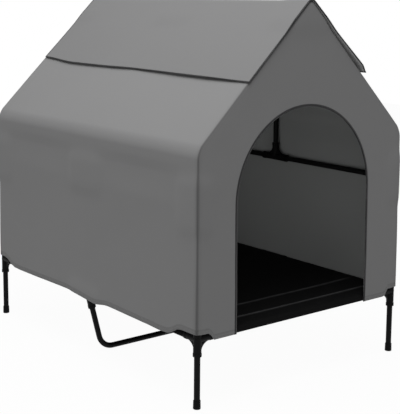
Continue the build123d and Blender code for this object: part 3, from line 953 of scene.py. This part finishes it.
class DOGBED_OT_sling(bpy.types.Operator):
    """Builds the bed's cloth with its sleeves round the rails and its fold creases, with a painted highlight
    along the creases
    """

    bl_idname = "dogbed.sling"
    bl_label = "Build Sling"

    def execute(self, context):
        sizes = context.scene.dog_bed_sizes
        columns, rows = SLING_COLUMNS, SLING_ROWS
        x_limits = [-HALF_WIDTH, -HALF_WIDTH + TEE_DEPTH, -HALF_WIDTH + CORNER_CUT,
                    HALF_WIDTH - CORNER_CUT, HALF_WIDTH - TEE_DEPTH, HALF_WIDTH]
        y_limits = [-HALF_LENGTH, -HALF_LENGTH + CORNER_CUT, CREASES[0], CREASES[1], -TEE_CUT, TEE_CUT,
                    HALF_LENGTH - CORNER_CUT, HALF_LENGTH]
        x_places = snap_lines(x_limits, columns)
        y_places = snap_lines(y_limits, rows)
        bm = bmesh.new()
        bmesh.ops.create_grid(bm, x_segments=columns, y_segments=rows, size=1.0)
        painted_crease_highlight = bm.verts.layers.float.new("painted_crease_highlight")
        top = RAIL_HEIGHT + SLEEVE_RADIUS
        for vert in bm.verts:
            vert.co.x = x_places[round((vert.co.x + 1) / 2 * columns)]
            vert.co.y = y_places[round((vert.co.y + 1) / 2 * rows)]
            vert.co.z = top
        holes = []
        for face in bm.faces:
            place = face.calc_center_median()
            corner = (abs(place.x) > HALF_WIDTH - CORNER_CUT, abs(place.y) > HALF_LENGTH - CORNER_CUT)
            tee = abs(place.x) > HALF_WIDTH - TEE_DEPTH and abs(place.y) < TEE_CUT
            if all(corner) or tee:
                holes.append(face)
        bmesh.ops.delete(bm, geom=holes, context="FACES")
        for axis, half in ((0, HALF_WIDTH), (1, HALF_LENGTH)):
            for sign in (-1, 1):
                self.add_sleeve(bm, axis, sign, half)
        for vert in bm.verts:
            x, y = vert.co.x, vert.co.y
            inside = abs(x) <= HALF_WIDTH - 10 * NEAR and abs(y) <= HALF_LENGTH - 10 * NEAR
            if vert.co.z < top - NEAR or not inside:
                continue
            inner = (1 - (x / HALF_WIDTH) ** 2) * (1 - (y / HALF_LENGTH) ** 4)
            ridge = 0.0
            for line in CREASES:
                bow = CREASE_BOW * ripple((x, line, 0.0), 5.0, 2.2)
                ridge += max(0.0, 1.0 - abs(y - line - bow) / CREASE_HALF_WIDTH)
            fade = smooth_step((HALF_WIDTH - abs(x)) / CREASE_FADE)
            uneven = SLING_RIPPLE * ripple((x, y, 0.0), 7.0, 5.0) * inner
            vert.co.z = top - SLING_SAG * inner + uneven + CREASE_HEIGHT * ridge * fade
            # Painted highlight: the mask lightens the black cloth along the fold ridges, where they catch
            # the light.
            vert[painted_crease_highlight] = min(1.0, ridge) * fade * (0.75 + 0.25 * ripple((x, y, 0.0), 30.0, 1.0))
        bmesh.ops.remove_doubles(bm, verts=list(bm.verts), dist=NEAR / 10)
        face_outward(bm, lambda: min(
            bm.faces, key=lambda face: face.calc_center_median().xy.length).normal.z >= 0)
        flat_map = bm.loops.layers.uv.new("cloth_map")
        for face in bm.faces:
            for loop in face.loops:
                place = loop.vert.co
                loop[flat_map].uv = (place.x - place.z, place.y + place.z)
        sling = new_piece("sling_cloth", bm, ["bed_cloth"])
        thicken(sling, sizes.sling_thickness)
        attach(sling, "bed")
        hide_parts("bed_sling")
        return {"FINISHED"}

    def add_sleeve(self, bm, axis, sign, half):
        """Turns the sheet's edge round one rail and back to its underside."""
        chosen = {v for v in bm.verts if abs(v.co[axis] - sign * half) < NEAR}
        line = [e for e in bm.edges if e.is_boundary and e.verts[0] in chosen and e.verts[1] in chosen]
        centre = Vector((0.0, 0.0, RAIL_HEIGHT))
        centre[axis] = sign * half
        turn_axis = Vector((0.0, 1.0, 0.0)) if axis == 0 else Vector((-1.0, 0.0, 0.0))
        turn = bmesh.ops.spin(bm, geom=line, cent=centre, axis=turn_axis, dvec=(0, 0, 0),
                              angle=sign * SLEEVE_ANGLE, steps=SLEEVE_STEPS, use_duplicate=False)
        last = [item for item in turn["geom_last"] if isinstance(item, bmesh.types.BMEdge)]
        tail = bmesh.ops.extrude_edge_only(bm, edges=last)
        tail_verts = [item for item in tail["geom"] if isinstance(item, bmesh.types.BMVert)]
        step = Vector((0.0, 0.0, SLEEVE_RADIUS - SLEEVE_TAIL_GAP))
        step[axis] = -sign * SLEEVE_TAIL
        bmesh.ops.translate(bm, verts=tail_verts, vec=step)


FLOOR_HALF = 6.0
FLOOR_GREY = 0.60
FLOOR_SEEN_WHITE = 0.965
WORLD_LIGHT = 0.40


def make_floor_material():
    """A pale floor that the camera and reflections see as near white, with some shadow kept."""
    material = bpy.data.materials.new("pale_floor")
    material.use_nodes = True
    tree = material.node_tree
    tree.nodes.remove(tree.nodes["Principled BSDF"])
    output = tree.nodes["Material Output"]
    matt = add_node(tree, "ShaderNodeBsdfDiffuse")
    matt.inputs["Color"].default_value = (FLOOR_GREY, FLOOR_GREY, FLOOR_GREY, 1.0)
    glow = add_node(tree, "ShaderNodeEmission")
    glow.inputs["Strength"].default_value = 1.0
    path = add_node(tree, "ShaderNodeLightPath")
    seen = maths(tree, "ADD", path.outputs["Is Camera Ray"], path.outputs["Is Glossy Ray"])
    seen = maths(tree, "ADD", seen, path.outputs["Is Transmission Ray"], clamp=True)
    amount = maths(tree, "MULTIPLY", seen, FLOOR_SEEN_WHITE)
    blend = add_node(tree, "ShaderNodeMixShader")
    tree.links.new(amount, blend.inputs[0])
    tree.links.new(matt.outputs[0], blend.inputs[1])
    tree.links.new(glow.outputs[0], blend.inputs[2])
    tree.links.new(blend.outputs[0], output.inputs["Surface"])


def make_world():
    """Plain soft light all round, seen as white."""
    world = bpy.data.worlds.new("studio")
    world.use_nodes = True
    bpy.context.scene.world = world
    tree = world.node_tree
    lit = tree.nodes["Background"]
    lit.inputs["Color"].default_value = (1.0, 1.0, 1.0, 1.0)
    path = add_node(tree, "ShaderNodeLightPath")
    seen = maths(tree, "ADD", path.outputs["Is Camera Ray"], path.outputs["Is Transmission Ray"], clamp=True)
    extra = maths(tree, "MULTIPLY", seen, 1.0 - WORLD_LIGHT)
    feed(tree, maths(tree, "ADD", extra, WORLD_LIGHT), lit.inputs["Strength"])


# Name, place, target, size and power of each lamp
LAMPS = [
    ("top_softbox", (-0.80, -0.55, 3.7), (0.0, 0.0, 0.55), 2.6, 120.0),
    ("cabin_fill", (-0.33, 0.02, 0.42), (0.36, 0.02, 0.47), 0.50, 0.52),
]
CAMERA_PLACE = (-1.9023056, -2.4423264, 1.0255539)
CAMERA_YAW = 0.6732
CAMERA_PITCH = 0.1461
CAMERA_ROLL = -0.008
CAMERA_FOCAL_PIXELS = 1027.6426
PICTURE_HEIGHT = 414
CAMERA_CENTRE_ROW = 150.0
SENSOR_WIDTH = 36.0


class DOGBED_OT_stage(bpy.types.Operator):
    """Sets the floor, the lamps, the surroundings and the camera"""

    bl_idname = "dogbed.stage"
    bl_label = "Set Stage"

    def execute(self, context):
        scene = context.scene
        bm = bmesh.new()
        bmesh.ops.create_grid(bm, x_segments=2, y_segments=2, size=FLOOR_HALF)
        make_floor_material()
        floor = new_piece("studio_floor", bm, ["pale_floor"])
        make_world()
        for name, place, target, size, power in LAMPS:
            light = bpy.data.lights.new(name, "AREA")
            light.size = size
            light.energy = power
            lamp = bpy.data.objects.new(name, light)
            scene.collection.objects.link(lamp)
            lamp.location = place
            lamp.visible_camera = False
            aim = Vector(target) - Vector(place)
            lamp.rotation_euler = aim.to_track_quat("-Z", "Y").to_euler()

        yaw, pitch, roll = CAMERA_YAW, CAMERA_PITCH, CAMERA_ROLL
        flat = Vector((math.sin(yaw), math.cos(yaw), 0.0))
        forward = flat * math.cos(pitch) - Vector((0.0, 0.0, math.sin(pitch)))
        level = Vector((math.cos(yaw), -math.sin(yaw), 0.0))
        down = forward.cross(level)
        across = level * math.cos(roll) + down * math.sin(roll)
        below = down * math.cos(roll) - level * math.sin(roll)
        matrix = Matrix((across, -below, -forward)).transposed().to_4x4()
        matrix.translation = Vector(CAMERA_PLACE)
        lens = bpy.data.cameras.new("product_view")
        lens.sensor_width = SENSOR_WIDTH
        lens.lens = CAMERA_FOCAL_PIXELS * SENSOR_WIDTH / PICTURE_HEIGHT
        lens.shift_y = (CAMERA_CENTRE_ROW - PICTURE_HEIGHT / 2) / PICTURE_HEIGHT
        camera = bpy.data.objects.new("product_view", lens)
        scene.collection.objects.link(camera)
        camera.matrix_world = matrix
        scene.camera = camera
        scene.view_settings.view_transform = "Standard"
        return {"FINISHED"}


STEPS = (DOGBED_OT_finishes, DOGBED_OT_hard_parts, DOGBED_OT_canopy, DOGBED_OT_rain_flap, DOGBED_OT_sling,
         DOGBED_OT_stage)


class DOGBED_PT_panel(bpy.types.Panel):
    """Lists the sizes, the colours and the steps"""

    bl_idname = "DOGBED_PT_panel"
    bl_label = "Canopy Dog Bed"
    bl_space_type = "VIEW_3D"
    bl_region_type = "UI"
    bl_category = "Dog Bed"

    def draw(self, context):
        for group in (context.scene.dog_bed_sizes, context.scene.dog_bed_colours):
            for name in group.__annotations__:
                self.layout.prop(group, name)
        for step in STEPS:
            self.layout.operator(step.bl_idname)


CLASSES = (DogBedSizes, DogBedColours) + STEPS + (DOGBED_PT_panel,)


def register():
    for item in CLASSES:
        bpy.utils.register_class(item)
    bpy.types.Scene.dog_bed_sizes = PointerProperty(type=DogBedSizes)
    bpy.types.Scene.dog_bed_colours = PointerProperty(type=DogBedColours)


def unregister():
    del bpy.types.Scene.dog_bed_colours
    del bpy.types.Scene.dog_bed_sizes
    for item in reversed(CLASSES):
        bpy.utils.unregister_class(item)


def main():
    """Builds every piece in order."""
    register()
    bpy.ops.dogbed.finishes()
    bpy.ops.dogbed.hard_parts()
    bpy.ops.dogbed.canopy()
    bpy.ops.dogbed.rain_flap()
    bpy.ops.dogbed.sling()
    bpy.ops.dogbed.stage()


if __name__ == "__main__":
    main()
